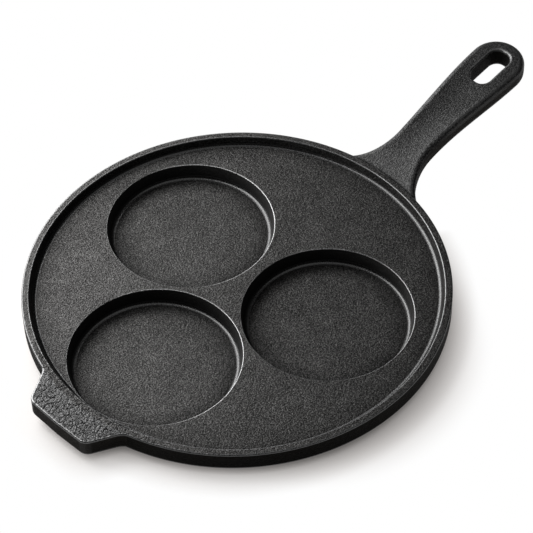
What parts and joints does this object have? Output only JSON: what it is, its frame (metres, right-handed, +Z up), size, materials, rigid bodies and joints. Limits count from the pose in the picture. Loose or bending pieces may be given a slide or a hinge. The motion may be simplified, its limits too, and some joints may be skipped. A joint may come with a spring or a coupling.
{
  "type": "uttapam pan",
  "caption": "Round cast-iron uttapam pan: flat-bottomed wells in a rimmed griddle deck, rising handle with a hang slot and a helper tab opposite, for cooking small thick pancakes.",
  "frame": {"origin": "on the standing plane, under the middle of the overall box", "axes": "+X from the helper tab towards the handle's tip, +Z up out of the wells, +Y to the left when looking along the handle"},
  "size_m": [0.3868, 0.254, 0.0493],
  "materials": {
    "cooking_iron": "fine pebbled sand-cast skin, seasoned matte black",
    "rim_iron": "sand-cast skin, worn lighter along the edges",
    "handle_iron": "fine sand-cast skin, slightly satin",
    "tab_iron": "coarse crackled sand-cast skin, slightly satin"
  },
  "bodies": {
    "root": {"griddle_deck": "cooking_iron", "well_cup_tab_side": "cooking_iron", "well_cup_left": "cooking_iron", "well_cup_right": "cooking_iron", "outer_rim": "rim_iron", "handle": "handle_iron", "helper_tab": "tab_iron"}
  },
  "joints": []
}
